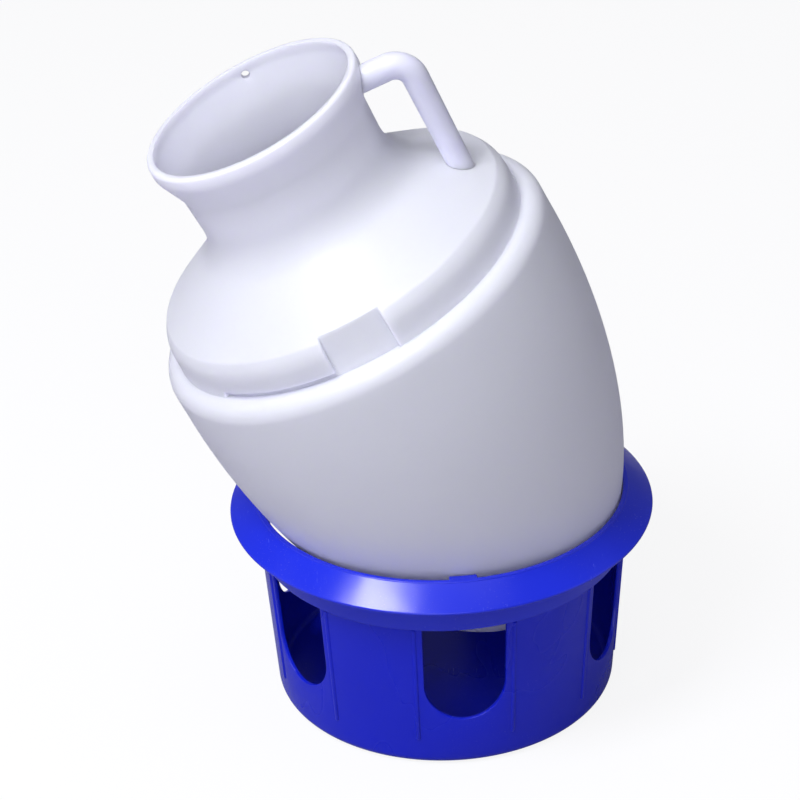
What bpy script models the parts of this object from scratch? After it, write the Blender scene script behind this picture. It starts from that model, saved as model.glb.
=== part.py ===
"""Pigeon drinker: a blow-moulded water jug leaning in the collar of its drinking base.

Lengths are metres and +Z is up. The origin is the middle of the base's underside, -Y is
the front, and the jug leans towards -X with its handle on the +X side. Depths on the jug
are measured down its own axis from the rim of its mouth.
"""

import math

import bmesh
import bpy
from mathutils import Euler, Matrix, Vector

# Drinking drum
DRUM_FOOT_RADIUS = 0.0830
DRUM_TOP_RADIUS = 0.0883
DRUM_HEIGHT = 0.0792
DRUM_WALL = 0.0020
DRUM_FLOOR = 0.0026
DRUM_FOOT_ROUND = 0.0050

# Drinking windows, open at the drum's top edge, and the ribs beside them
WINDOW_COUNT = 6
WINDOW_WIDTH = 0.0386
WINDOW_SILL_HEIGHT = 0.0270
FRONT_WINDOW_TURN = math.radians(5.0)
RIB_WIDTH = 0.0032
RIB_CREST_WIDTH = 0.0012
RIB_HEIGHT = 0.0007
RIB_OFFSET = 0.0042
RIB_FOOT_HEIGHT = 0.0150

# Collar with its rain skirt and bayonet lugs; its bore takes the jug's belt
COLLAR_CLEARANCE = 0.0003
COLLAR_HEIGHT = 0.0274
COLLAR_WALL = 0.0027
COLLAR_STEP = 0.0008
RIM_RISE = 0.0006
RIM_ROUND = 0.0008
SKIRT_RADIUS = 0.1025
SKIRT_DROP = 0.0096
SKIRT_THICKNESS = 0.0020
SKIRT_EDGE_ROUND = 0.0010
SKIRT_ROOT_ROUND = 0.0020
LUG_COUNT = 2
LUG_WIDTH = 0.0130
LUG_REACH = 0.0028
LUG_HEIGHT = 0.0024
LUG_RISE = 0.0008
LUG_SETBACK = 0.0004

# Jug: mouth, neck and shoulder
JUG_HEIGHT = 0.2900
JUG_WALL = 0.0020
MOUTH_RADIUS = 0.0518
LIP_WIDTH = 0.0035
LIP_HEIGHT = 0.0060
LIP_FLARE = 0.0004
LIP_ROUND = 0.0016
LIP_FOOT_ROUND = 0.0080
LIP_LINING_DEPTH = 0.0050
LIP_LINING_ROUND = 0.0100
FLARE_DEPTH = 0.0205
FLARE_FOOT_RADIUS = 0.0462
FLARE_ROUND = 0.0120
FLARE_LINING_ROUND = 0.0300
NECK_RADIUS = 0.0451
SHOULDER_DEPTH = 0.0514
SHOULDER_ROUND = 0.0220
LEVEL_HOLE_RADIUS = 0.0020
LEVEL_HOLE_DEPTH = 0.0054
LEVEL_HOLE_TURN = math.radians(187.5)

# Jug: belt that plugs into the collar, ledge that the collar stops on
BELT_TOP_RADIUS = 0.0838
BELT_TOP_DEPTH = 0.0759
BELT_TOP_ROUND = 0.0030
BELT_BEND_RADIUS = 0.0869
BELT_BEND_DEPTH = 0.0810
BELT_BEND_ROUND = 0.0120
BELT_RADIUS = 0.0874
BELT_FOOT_DEPTH = 0.0938
BELT_FOOT_ROUND = 0.0006
LEDGE_RADIUS = 0.0960
LEDGE_ROUND = 0.0115
LEDGE_RUN = 0.0180

# Jug: bayonet entries and tracks in the belt, which take the collar's lugs
BAYONET_TURN = math.radians(7.0)
BAYONET_CLEARANCE = 0.0003
ENTRY_WIDTH = 0.0305
TRACK_ARC = math.radians(40.0)
TRACK_OVERLAP = math.radians(1.0)

# Jug: egg-shaped body and foot
BODY_RADIUS = 0.0965
WIDEST_DEPTH = 0.1230
FOOT_RADIUS = 0.0366
FOOT_ROUND = 0.0060
FOOT_RING_WIDTH = 0.0100
FOOT_HOLLOW = 0.0030
FOOT_HOLLOW_ROUND = 0.0030

# Handle
HANDLE_RADIUS = 0.0065
HANDLE_FOOT_SCALE = 0.92
HANDLE_REACH = 0.0717
HANDLE_TOP_DEPTH = 0.0103
HANDLE_BEND = 0.0095

# How the jug stands in the collar
JUG_LEAN_LEFT = math.radians(24.73)
JUG_LEAN_FRONT = math.radians(4.5)
AXIS_SHIFT_X = 0.0146
AXIS_SHIFT_Y = -0.0010
SEAT_CLEARANCE = 0.0003
PART_GAP = 0.0003

# Fineness of the facets
TURN_STEPS = 60
BODY_STEPS = 10
LINING_STEPS = 7
ARC_STEP = math.radians(22.5)
LINING_ARC_STEP = math.radians(35.0)
COLLAR_ARC_STEP = math.radians(40.0)
SECTOR_STEP = math.radians(5.0)
WINDOW_ARC_STEP = math.radians(10.0)
BAR_STEPS = 8
DRILL_SIDES = 24
SEAT_LEVELS = 4
CORNER_SHARE = 0.98
CUT_MARGIN = 0.0100
MERGE_DISTANCE = 0.00001
SMOOTH_ANGLE = math.radians(30.0)

# The bore, the entries and the tracks take their size from the belt and the lugs
COLLAR_BORE_RADIUS = BELT_RADIUS + COLLAR_CLEARANCE
RECESS_RADIUS = BELT_RADIUS - LUG_REACH
TRACK_HEIGHT = LUG_HEIGHT + BAYONET_CLEARANCE
BELT_TAPER = (BELT_RADIUS - BELT_TOP_RADIUS) / (BELT_FOOT_DEPTH - BELT_TOP_DEPTH)

COLLECTION_NAME = "pigeon_drinker"
CUTTER_COLLECTION_NAME = "cutters"
BLUE = (0.020, 0.034, 0.560, 1.0)
MILK_WHITE = (0.86, 0.86, 0.92, 1.0)


def rounded_path(corners, arc_step=ARC_STEP):
    """Polyline through (radius, height, rounding) corners, each rounding turned into an arc."""
    places = [Vector((x, z)) for x, z, _ in corners]
    tangents = [0.0] * len(corners)
    turns = [0.0] * len(corners)
    for index in range(1, len(corners) - 1):
        before = places[index - 1] - places[index]
        after = places[index + 1] - places[index]
        turns[index] = math.pi - before.angle(after)
        tangents[index] = corners[index][2] * math.tan(turns[index] / 2.0)
    for index in range(len(corners) - 1):
        room = CORNER_SHARE * (places[index + 1] - places[index]).length
        wanted = tangents[index] + tangents[index + 1]
        if wanted > room:
            tangents[index] *= room / wanted
            tangents[index + 1] *= room / wanted
    points = []
    for index, corner in enumerate(places):
        if tangents[index] <= MERGE_DISTANCE:
            points.append(corner)
            continue
        before = (places[index - 1] - corner).normalized()
        after = (places[index + 1] - corner).normalized()
        radius = tangents[index] / math.tan(turns[index] / 2.0)
        centre = corner + (before + after).normalized() * (radius / math.cos(turns[index] / 2.0))
        start = corner + before * tangents[index] - centre
        end = corner + after * tangents[index] - centre
        side = 1.0 if start.x * end.y - start.y * end.x > 0.0 else -1.0
        pieces = max(1, round(turns[index] / arc_step))
        for step in range(pieces + 1):
            swing = side * turns[index] * step / pieces
            points.append(centre + Matrix.Rotation(swing, 2) @ start)
    return points


def offset_path(points, distance):
    """The polyline moved sideways by distance, to the right of its direction of travel."""
    moved = []
    for index, point in enumerate(points):
        normals = []
        for first, second in ((index - 1, index), (index, index + 1)):
            if first < 0 or second >= len(points):
                continue
            along = (points[second] - points[first]).normalized()
            normals.append(Vector((along.y, -along.x)))
        middle = sum(normals, Vector((0.0, 0.0))).normalized()
        moved.append(point + middle * (distance / middle.dot(normals[0])))
    return moved


def new_collection(name):
    collection = bpy.data.collections.new(name)
    bpy.context.scene.collection.children.link(collection)
    return collection


def new_material(name, colour, roughness):
    material = bpy.data.materials.new(name)
    material.use_nodes = True
    shader = material.node_tree.nodes["Principled BSDF"]
    shader.inputs["Base Color"].default_value = colour
    shader.inputs["Roughness"].default_value = roughness
    shader.inputs["Metallic"].default_value = 0.0
    return material


def turned(name, path, collection, material=None, closed=False):
    """Surface of revolution about local Z; path runs down the outer side, top to bottom."""
    edges = [(index, index + 1) for index in range(len(path) - 1)]
    if closed:
        edges.append((len(path) - 1, 0))
    mesh = bpy.data.meshes.new(name)
    mesh.from_pydata([(point.x, 0.0, point.y) for point in path], edges, [])
    if material:
        mesh.materials.append(material)
    piece = bpy.data.objects.new(name, mesh)
    collection.objects.link(piece)
    screw = piece.modifiers.new("turn", "SCREW")
    screw.axis = "Z"
    screw.angle = 2.0 * math.pi
    screw.steps = TURN_STEPS
    screw.render_steps = TURN_STEPS
    screw.use_merge_vertices = True
    screw.merge_threshold = MERGE_DISTANCE
    return piece


def mesh_from_curve(curve_object, name, collection):
    """Closed mesh object of a curve, with the curve's caps welded on."""
    bpy.context.view_layer.update()
    evaluated = curve_object.evaluated_get(bpy.context.evaluated_depsgraph_get())
    mesh = bpy.data.meshes.new_from_object(evaluated)
    work = bmesh.new()
    work.from_mesh(mesh)
    bmesh.ops.remove_doubles(work, verts=work.verts, dist=MERGE_DISTANCE)
    bmesh.ops.recalc_face_normals(work, faces=work.faces)
    work.to_mesh(mesh)
    work.free()
    mesh.shade_smooth()
    mesh.set_sharp_from_angle(angle=SMOOTH_ANGLE)
    piece = bpy.data.objects.new(name, mesh)
    collection.objects.link(piece)
    piece.matrix_world = curve_object.matrix_world.copy()
    bpy.data.objects.remove(curve_object)
    return piece


def plate(name, outline, thickness, collection):
    """Flat plate of an outline in local XY, centred on local Z = 0."""
    curve = bpy.data.curves.new(name, "CURVE")
    curve.dimensions = "2D"
    curve.fill_mode = "BOTH"
    curve.extrude = thickness / 2.0
    spline = curve.splines.new("POLY")
    spline.points.add(len(outline) - 1)
    for point, (x, y) in zip(spline.points, outline):
        point.co = (x, y, 0.0, 1.0)
    spline.use_cyclic_u = True
    curve_object = bpy.data.objects.new(name + "_outline", curve)
    collection.objects.link(curve_object)
    return mesh_from_curve(curve_object, name, collection)


def arc_sector(name, start, end, inner_radius, outer_radius, low, high, collection, taper=0.0):
    """Block between two radii, turns from the front and heights; its inner side leans by taper."""
    steps = max(3, math.ceil((end - start) / SECTOR_STEP))
    turns = [start + (end - start) * step / steps for step in range(steps + 1)]
    outline = [(inner_radius * math.sin(turn), -inner_radius * math.cos(turn)) for turn in turns]
    outline += [
        (outer_radius * math.sin(turn), -outer_radius * math.cos(turn)) for turn in reversed(turns)
    ]
    block = plate(name, outline, high - low, collection)
    block.location.z = (low + high) / 2.0
    top_share = (inner_radius - taper * (high - low)) / inner_radius
    for corner in block.data.vertices:
        if corner.co.z > 0.0 and corner.co.xy.length < (inner_radius + outer_radius) / 2.0:
            corner.co.xy *= top_share
    return block


def joined(name, pieces, collection):
    """One object holding copies of several closed meshes that lie apart."""
    bpy.context.view_layer.update()
    work = bmesh.new()
    for piece in pieces:
        mesh = piece.data.copy()
        mesh.transform(piece.matrix_world)
        work.from_mesh(mesh)
        bpy.data.meshes.remove(mesh)
        bpy.data.objects.remove(piece)
    mesh = bpy.data.meshes.new(name)
    work.to_mesh(mesh)
    work.free()
    group = bpy.data.objects.new(name, mesh)
    collection.objects.link(group)
    return group


def as_cutter(piece):
    piece.hide_render = True
    piece.display_type = "WIRE"


def combine(piece, tool, operation):
    boolean = piece.modifiers.new(tool.name, "BOOLEAN")
    boolean.operation = operation
    boolean.solver = "EXACT"
    boolean.object = tool
    as_cutter(tool)


def drum_radius(height):
    """Outer radius of the drum's tapering wall at a height."""
    return DRUM_FOOT_RADIUS + (DRUM_TOP_RADIUS - DRUM_FOOT_RADIUS) * height / DRUM_HEIGHT


def window_turns():
    return [FRONT_WINDOW_TURN + 2.0 * math.pi * index / WINDOW_COUNT for index in range(WINDOW_COUNT)]


def window_cutters(cutters):
    """U-shaped cutters, one a window, that run out of the drum's top edge."""
    half = WINDOW_WIDTH / 2.0
    centre_height = WINDOW_SILL_HEIGHT + half
    steps = math.ceil(math.pi / WINDOW_ARC_STEP)
    outline = [(half, DRUM_HEIGHT + CUT_MARGIN), (-half, DRUM_HEIGHT + CUT_MARGIN)]
    for step in range(steps + 1):
        turn = math.pi + math.pi * step / steps
        outline.append((half * math.cos(turn), centre_height + half * math.sin(turn)))
    depth = 4.0 * CUT_MARGIN
    tools = []
    for index, turn in enumerate(window_turns()):
        tool = plate(f"window_cutter_{index + 1}", outline, depth, cutters)
        outward = Matrix.Translation((0.0, -DRUM_FOOT_RADIUS, 0.0)) @ Matrix.Rotation(math.pi / 2.0, 4, "X")
        tool.matrix_world = Matrix.Rotation(turn, 4, "Z") @ outward
        tools.append(tool)
    return joined("window_cutters", tools, cutters)


def rib_blocks(cutters):
    """Thin ribs up the drum's wall, one at each side of each window, that narrow to their crest."""
    side_turn = math.asin((WINDOW_WIDTH / 2.0 + RIB_OFFSET) / DRUM_TOP_RADIUS)
    top = DRUM_HEIGHT - PART_GAP
    taper = math.atan2(DRUM_TOP_RADIUS - DRUM_FOOT_RADIUS, DRUM_HEIGHT)
    middle_height = (RIB_FOOT_HEIGHT + top) / 2.0
    depth = DRUM_WALL / 2.0 + RIB_HEIGHT
    middle_radius = drum_radius(middle_height) + RIB_HEIGHT - depth / 2.0
    work = bmesh.new()
    for turn in window_turns():
        for side in (-1.0, 1.0):
            place = (
                Matrix.Rotation(turn + side * side_turn, 4, "Z")
                @ Matrix.Translation((0.0, -middle_radius, middle_height))
                @ Matrix.Rotation(taper, 4, "X")
                @ Matrix.Diagonal((RIB_WIDTH, depth, (top - RIB_FOOT_HEIGHT) / math.cos(taper), 1.0))
            )
            corners = bmesh.ops.create_cube(work, size=1.0)["verts"]
            for corner in corners:
                if corner.co.y < 0.0:
                    corner.co.x *= RIB_CREST_WIDTH / RIB_WIDTH
            bmesh.ops.transform(work, matrix=place, verts=corners)
    mesh = bpy.data.meshes.new("drum_ribs")
    work.to_mesh(mesh)
    work.free()
    ribs = bpy.data.objects.new("drum_ribs", mesh)
    cutters.objects.link(ribs)
    return ribs


def build_drum(parts, cutters, material):
    """Trough floor and tapering wall, with the windows cut down from its top edge."""
    inner_foot_round = max(DRUM_FOOT_ROUND - DRUM_WALL, DRUM_WALL)
    path = rounded_path([
        (0.0, DRUM_FLOOR, 0.0),
        (drum_radius(DRUM_FLOOR) - DRUM_WALL, DRUM_FLOOR, inner_foot_round),
        (DRUM_TOP_RADIUS - DRUM_WALL, DRUM_HEIGHT, 0.0),
    ])
    path += rounded_path([
        (DRUM_TOP_RADIUS, DRUM_HEIGHT, 0.0),
        (DRUM_FOOT_RADIUS, 0.0, DRUM_FOOT_ROUND),
        (0.0, 0.0, 0.0),
    ])
    drum = turned("drinking_drum", path, parts, material)
    combine(drum, rib_blocks(cutters), "UNION")
    combine(drum, window_cutters(cutters), "DIFFERENCE")
    return drum


def collar_top():
    return DRUM_HEIGHT + PART_GAP + COLLAR_HEIGHT


def collar_lining(height):
    """Inner radius of the collar's tapering wall at a height, from the drum's top to the rim."""
    foot_radius = DRUM_TOP_RADIUS + COLLAR_STEP - COLLAR_WALL
    share = (height - DRUM_HEIGHT - PART_GAP) / COLLAR_HEIGHT
    return foot_radius + (COLLAR_BORE_RADIUS - foot_radius) * share


def lug_blocks(cutters):
    """Bayonet lugs that stand in from the collar's rim above the front and back windows."""
    top = collar_top() + LUG_RISE
    half_turn = LUG_WIDTH / 2.0 / COLLAR_BORE_RADIUS
    blocks = []
    for index in range(LUG_COUNT):
        turn = FRONT_WINDOW_TURN + 2.0 * math.pi * index / LUG_COUNT
        blocks.append(arc_sector(
            f"lug_{index + 1}",
            turn - half_turn,
            turn + half_turn,
            COLLAR_BORE_RADIUS - LUG_REACH,
            COLLAR_BORE_RADIUS + COLLAR_WALL - LUG_SETBACK,
            top - LUG_HEIGHT,
            top,
            cutters,
        ))
    return joined("bayonet_lugs", blocks, cutters)


def build_collar(parts, cutters, material):
    """Ring above the windows, its rim, the rain skirt that hangs from it and the lugs inside."""
    foot = DRUM_HEIGHT + PART_GAP
    top = collar_top()
    foot_radius = DRUM_TOP_RADIUS + COLLAR_STEP
    rim_radius = COLLAR_BORE_RADIUS + COLLAR_WALL
    slope = math.atan2(SKIRT_DROP - RIM_RISE, SKIRT_RADIUS - rim_radius)
    under = SKIRT_THICKNESS / math.cos(slope)
    edge = Vector((math.sin(slope), math.cos(slope))) * SKIRT_THICKNESS
    path = rounded_path([
        (foot_radius - COLLAR_WALL, foot, 0.0),
        (COLLAR_BORE_RADIUS, top, RIM_ROUND),
        (rim_radius, top, RIM_ROUND),
        (rim_radius, top - RIM_RISE, 0.0),
        (SKIRT_RADIUS, top - SKIRT_DROP, SKIRT_EDGE_ROUND),
        (SKIRT_RADIUS - edge.x, top - SKIRT_DROP - edge.y, SKIRT_EDGE_ROUND),
        (rim_radius, top - RIM_RISE - under, SKIRT_ROOT_ROUND),
        (foot_radius, foot, 0.0),
    ], COLLAR_ARC_STEP)
    collar = turned("collar_and_rain_skirt", path, parts, material, closed=True)
    combine(collar, lug_blocks(cutters), "UNION")
    return collar


def body_length():
    """Half length of the ellipse that the body's side follows, from its widest ring to its foot."""
    return (JUG_HEIGHT - WIDEST_DEPTH) / math.sqrt(1.0 - (FOOT_RADIUS / BODY_RADIUS) ** 2)


def body_radius(depth):
    return BODY_RADIUS * math.sqrt(1.0 - ((depth - WIDEST_DEPTH) / body_length()) ** 2)


def jug_outline(body_steps=BODY_STEPS, arc_step=ARC_STEP):
    """The jug's outer side as a polyline of radius and height, from its lip to its foot's middle."""
    corners = [
        (MOUTH_RADIUS - LIP_WIDTH, JUG_HEIGHT, LIP_ROUND),
        (MOUTH_RADIUS, JUG_HEIGHT, LIP_ROUND),
        (MOUTH_RADIUS + LIP_FLARE, JUG_HEIGHT - LIP_HEIGHT, LIP_FOOT_ROUND),
        (FLARE_FOOT_RADIUS, JUG_HEIGHT - FLARE_DEPTH, FLARE_ROUND),
        (NECK_RADIUS, JUG_HEIGHT - SHOULDER_DEPTH, SHOULDER_ROUND),
        (BELT_TOP_RADIUS, JUG_HEIGHT - BELT_TOP_DEPTH, BELT_TOP_ROUND),
        (BELT_BEND_RADIUS, JUG_HEIGHT - BELT_BEND_DEPTH, BELT_BEND_ROUND),
        (BELT_RADIUS, JUG_HEIGHT - BELT_FOOT_DEPTH, BELT_FOOT_ROUND),
        (LEDGE_RADIUS, JUG_HEIGHT - BELT_FOOT_DEPTH, LEDGE_ROUND),
    ]
    start = BELT_FOOT_DEPTH + LEDGE_RUN
    end = JUG_HEIGHT - FOOT_ROUND
    for step in range(body_steps + 1):
        depth = start + (end - start) * math.sin(math.pi / 2.0 * step / body_steps)
        corners.append((body_radius(depth), JUG_HEIGHT - depth, 0.0))
    hollow_radius = FOOT_RADIUS - FOOT_RING_WIDTH
    corners += [
        (FOOT_RADIUS, 0.0, FOOT_ROUND),
        (hollow_radius, 0.0, FOOT_HOLLOW_ROUND),
        (hollow_radius - FOOT_HOLLOW, FOOT_HOLLOW, FOOT_HOLLOW_ROUND),
        (0.0, FOOT_HOLLOW, 0.0),
    ]
    return rounded_path(corners, arc_step)


def jug_lining():
    """The jug's inner side, from its foot's middle up to the lip, one wall inside the outline."""
    neck_height = JUG_HEIGHT - (FLARE_DEPTH + SHOULDER_DEPTH) / 2.0
    outline = jug_outline(LINING_STEPS, LINING_ARC_STEP)
    inner = [point for point in offset_path(outline, JUG_WALL) if point.y < neck_height]
    inner[-1].x = 0.0
    lip_radius = MOUTH_RADIUS - LIP_WIDTH
    mouth = rounded_path([
        (lip_radius, JUG_HEIGHT - LIP_ROUND, 0.0),
        (lip_radius, JUG_HEIGHT - LIP_LINING_DEPTH, LIP_LINING_ROUND),
        (FLARE_FOOT_RADIUS - JUG_WALL, JUG_HEIGHT - FLARE_DEPTH, FLARE_LINING_ROUND),
        (NECK_RADIUS - JUG_WALL, neck_height, 0.0),
    ])
    return list(reversed(mouth + inner))


def bayonet_blocks(name, cutters, inner_radius, outer_radius, margin):
    """The entries that the lugs drop into and the tracks they turn along, grown by a margin."""
    half_turn = ENTRY_WIDTH / 2.0 / BELT_RADIUS
    margin_turn = margin / BELT_RADIUS
    foot = JUG_HEIGHT - BELT_FOOT_DEPTH
    top = JUG_HEIGHT - SHOULDER_DEPTH
    low_radius = inner_radius + BELT_TAPER * margin
    entries = []
    tracks = []
    for index in range(LUG_COUNT):
        turn = BAYONET_TURN + 2.0 * math.pi * index / LUG_COUNT
        left = turn - half_turn
        entries.append(arc_sector(
            f"{name}_entry_{index + 1}", left - margin_turn, turn + half_turn + margin_turn,
            low_radius, outer_radius, foot - margin, top, cutters, BELT_TAPER,
        ))
        tracks.append(arc_sector(
            f"{name}_track_{index + 1}", left - TRACK_ARC - margin_turn, left + TRACK_OVERLAP,
            low_radius, outer_radius, foot - margin, foot + TRACK_HEIGHT + margin, cutters,
            BELT_TAPER,
        ))
    return joined(f"{name}_entries", entries, cutters), joined(f"{name}_tracks", tracks, cutters)


def level_hole_drill(cutters):
    """Cylinder through the lip, opposite the entries, whose hole sets the water's level."""
    bpy.ops.mesh.primitive_cylinder_add(
        vertices=DRILL_SIDES,
        radius=LEVEL_HOLE_RADIUS,
        depth=LIP_WIDTH * 4.0,
    )
    drill = bpy.context.object
    drill.name = "level_hole_drill"
    for holder in list(drill.users_collection):
        holder.objects.unlink(drill)
    cutters.objects.link(drill)
    drill.rotation_euler = (math.pi / 2.0, 0.0, LEVEL_HOLE_TURN)
    drill.location = (
        MOUTH_RADIUS * math.sin(LEVEL_HOLE_TURN),
        -MOUTH_RADIUS * math.cos(LEVEL_HOLE_TURN),
        JUG_HEIGHT - LEVEL_HOLE_DEPTH,
    )
    return drill


def build_jug_shell(parts, cutters, pose, material):
    """Hollow shell with an open mouth, its bayonet entries and tracks, and its level hole."""
    shell = turned("jug_shell", [Vector((0.0, JUG_HEIGHT))] + jug_outline(), parts, material)
    cavity_path = jug_lining()
    cavity_path.reverse()
    above = Vector((cavity_path[0].x + LIP_ROUND, JUG_HEIGHT + CUT_MARGIN))
    cavity_path = [Vector((0.0, above.y)), above] + cavity_path
    cavity = turned("jug_cavity", cavity_path, cutters)
    backs = bayonet_blocks("backing", cutters, RECESS_RADIUS - JUG_WALL, BODY_RADIUS, JUG_WALL)
    cuts = bayonet_blocks("bayonet", cutters, RECESS_RADIUS, BODY_RADIUS + CUT_MARGIN, 0.0)
    for block in backs:
        combine(cavity, block, "DIFFERENCE")
    drill = level_hole_drill(cutters)
    for tool in (*cuts, drill, cavity):
        combine(shell, tool, "DIFFERENCE")
    for piece in (shell, cavity, drill, *backs, *cuts):
        piece.parent = pose
    return shell


def build_handle(parts, cutters, pose, material):
    """Round bar from under the lip, out and down to the shoulder, its ends shaped to the jug."""
    top = JUG_HEIGHT - HANDLE_TOP_DEPTH
    foot = JUG_HEIGHT - BELT_TOP_DEPTH
    route = rounded_path([
        (NECK_RADIUS - HANDLE_RADIUS, top, 0.0),
        (HANDLE_REACH, top, HANDLE_BEND),
        (HANDLE_REACH, foot, 0.0),
    ])
    curve = bpy.data.curves.new("handle_bar", "CURVE")
    curve.dimensions = "3D"
    curve.bevel_depth = HANDLE_RADIUS
    curve.bevel_resolution = BAR_STEPS
    curve.use_fill_caps = True
    spline = curve.splines.new("POLY")
    spline.points.add(len(route) - 1)
    for point, place in zip(spline.points, route):
        drop = (top - place.y) / (top - foot)
        point.co = (place.x, 0.0, place.y, 1.0)
        point.radius = 1.0 + (HANDLE_FOOT_SCALE - 1.0) * drop
    curve_object = bpy.data.objects.new("handle_bar", curve)
    cutters.objects.link(curve_object)
    handle = mesh_from_curve(curve_object, "jug_handle", parts)
    handle.data.materials.append(material)
    handle.parent = pose
    outline = [point for point in jug_outline() if point.y > JUG_HEIGHT / 2.0]
    jacket_path = offset_path(outline, -PART_GAP)
    jacket_path[0].y += PART_GAP
    axis_top = Vector((0.0, jacket_path[0].y))
    axis_foot = Vector((0.0, jacket_path[-1].y))
    jacket = turned("handle_end_cutter", [axis_top] + jacket_path + [axis_foot], cutters)
    jacket.parent = pose
    combine(handle, jacket, "DIFFERENCE")
    return handle


def jug_seat(axis_turn):
    """Where the jug's foot comes to lie when its body rests inside the collar and its lugs."""
    up = (axis_turn @ Vector((0.0, 0.0, 1.0))).normalized()
    crossing = Vector((AXIS_SHIFT_X, AXIS_SHIFT_Y, collar_top()))
    lug_half_turn = LUG_WIDTH / 2.0 / COLLAR_BORE_RADIUS
    stops = []
    for step in range(TURN_STEPS):
        turn = 2.0 * math.pi * step / TURN_STEPS
        stops.append((turn, DRUM_TOP_RADIUS - DRUM_WALL, DRUM_HEIGHT))
        for level in range(SEAT_LEVELS + 1):
            height = collar_top() - COLLAR_HEIGHT * level / SEAT_LEVELS
            stops.append((turn, collar_lining(height), height))
    for index in range(LUG_COUNT):
        for side in (-1.0, 0.0, 1.0):
            turn = FRONT_WINDOW_TURN + 2.0 * math.pi * index / LUG_COUNT + side * lug_half_turn
            for height in (collar_top() + LUG_RISE, collar_top() + LUG_RISE - LUG_HEIGHT):
                stops.append((turn, COLLAR_BORE_RADIUS - LUG_REACH, height))
    rise = 0.0
    for turn, radius, height in stops:
        stop = Vector((radius * math.sin(turn), -radius * math.cos(turn), height)) - crossing
        below = -stop.dot(up)
        reach = (stop + up * below).length - SEAT_CLEARANCE
        if reach < BODY_RADIUS:
            needed = body_length() * math.sqrt(1.0 - (reach / BODY_RADIUS) ** 2)
            rise = max(rise, needed - below)
    return crossing + up * (rise - (JUG_HEIGHT - WIDEST_DEPTH))


def build_pose(parts):
    """Empty on the jug's axis, at its foot, turned to the lean that it rests at."""
    turn = Euler((JUG_LEAN_FRONT, -JUG_LEAN_LEFT, 0.0), "YXZ")
    pose = bpy.data.objects.new("jug_axis", None)
    parts.objects.link(pose)
    pose.rotation_mode = "YXZ"
    pose.rotation_euler = turn
    pose.location = jug_seat(turn.to_matrix())
    return pose


def main():
    for old in list(bpy.data.objects):
        bpy.data.objects.remove(old)
    parts = new_collection(COLLECTION_NAME)
    cutters = new_collection(CUTTER_COLLECTION_NAME)
    blue_gloss = new_material("blue_gloss_plastic", BLUE, 0.25)
    blue_collar = new_material("blue_collar_plastic", BLUE, 0.22)
    milk = new_material("milk_white_plastic", MILK_WHITE, 0.38)
    milk_handle = new_material("milk_white_handle", MILK_WHITE, 0.36)
    build_drum(parts, cutters, blue_gloss)
    build_collar(parts, cutters, blue_collar)
    pose = build_pose(parts)
    build_jug_shell(parts, cutters, pose, milk)
    build_handle(parts, cutters, pose, milk_handle)


main()
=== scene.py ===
"""Looks of the pigeon drinker: a milky water jug leaning in its blue drinking base.

Lengths are metres in the part's own frame: +Z up, -Y the front, the origin in the middle of
the base's underside. Every visible piece is modelled here and stands for one CAD node.
"""

from __future__ import annotations

import logging
import math
from collections.abc import Callable
from dataclasses import dataclass, field, replace
from enum import Enum

import bmesh
import bpy
from mathutils import Euler, Matrix, Vector

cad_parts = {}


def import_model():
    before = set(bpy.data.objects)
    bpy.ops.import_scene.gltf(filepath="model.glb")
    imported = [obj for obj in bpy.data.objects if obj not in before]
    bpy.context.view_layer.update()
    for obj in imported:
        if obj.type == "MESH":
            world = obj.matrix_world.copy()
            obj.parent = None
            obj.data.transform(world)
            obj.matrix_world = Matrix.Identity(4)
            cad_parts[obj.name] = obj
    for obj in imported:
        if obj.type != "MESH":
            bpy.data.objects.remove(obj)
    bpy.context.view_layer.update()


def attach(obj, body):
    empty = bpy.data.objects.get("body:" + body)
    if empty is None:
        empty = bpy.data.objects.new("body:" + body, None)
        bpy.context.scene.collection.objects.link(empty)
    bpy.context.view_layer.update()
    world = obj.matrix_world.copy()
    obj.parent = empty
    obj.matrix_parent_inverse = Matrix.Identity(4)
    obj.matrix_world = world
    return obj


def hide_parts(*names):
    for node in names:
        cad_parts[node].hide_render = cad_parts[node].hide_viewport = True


LOG = logging.getLogger("pigeon_drinker")

Colour = tuple[float, float, float, float]
Triple = tuple[float, float, float]

MERGE_DISTANCE = 0.000002
SEAM_DISTANCE = 0.00002
SLICE_DISTANCE = 0.0000001
DEGREE = math.radians(1.0)
ROUND_STEPS = 360
FULL_TURN = 2.0 * math.pi
CRISP_TURN = 32.0 * DEGREE
CREASE_TURN = 50.0 * DEGREE
UPRIGHT_SHARE = 0.2
CORNER_ROOM = 0.98
LEAST_MITRE = 0.3
WHITE = (1.0, 1.0, 1.0, 1.0)


class NodeName(Enum):
    """CAD nodes that the visible pieces stand for."""

    DRUM = "drinking_drum"
    COLLAR = "collar_and_rain_skirt"
    SHELL = "jug_shell"
    HANDLE = "jug_handle"


class BodyName(Enum):
    """Moving bodies of the part."""

    BASE = "base"
    JUG = "jug"


class SlotName(Enum):
    """Material slots of the record."""

    BLUE_DRUM_PAINTED_SHADE = "blue_drum"
    BLUE_COLLAR = "blue_collar"
    MILK_JUG = "milk_white_jug"
    MILK_HANDLE_PAINTED_SHADE = "milk_white_handle"


# Shape helpers


def linked(name: str, data: bpy.types.ID) -> bpy.types.Object:
    """Makes an object of a mesh, lamp or camera and puts it in the scene."""
    made = bpy.data.objects.new(name, data)
    bpy.context.scene.collection.objects.link(made)
    return made


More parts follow.
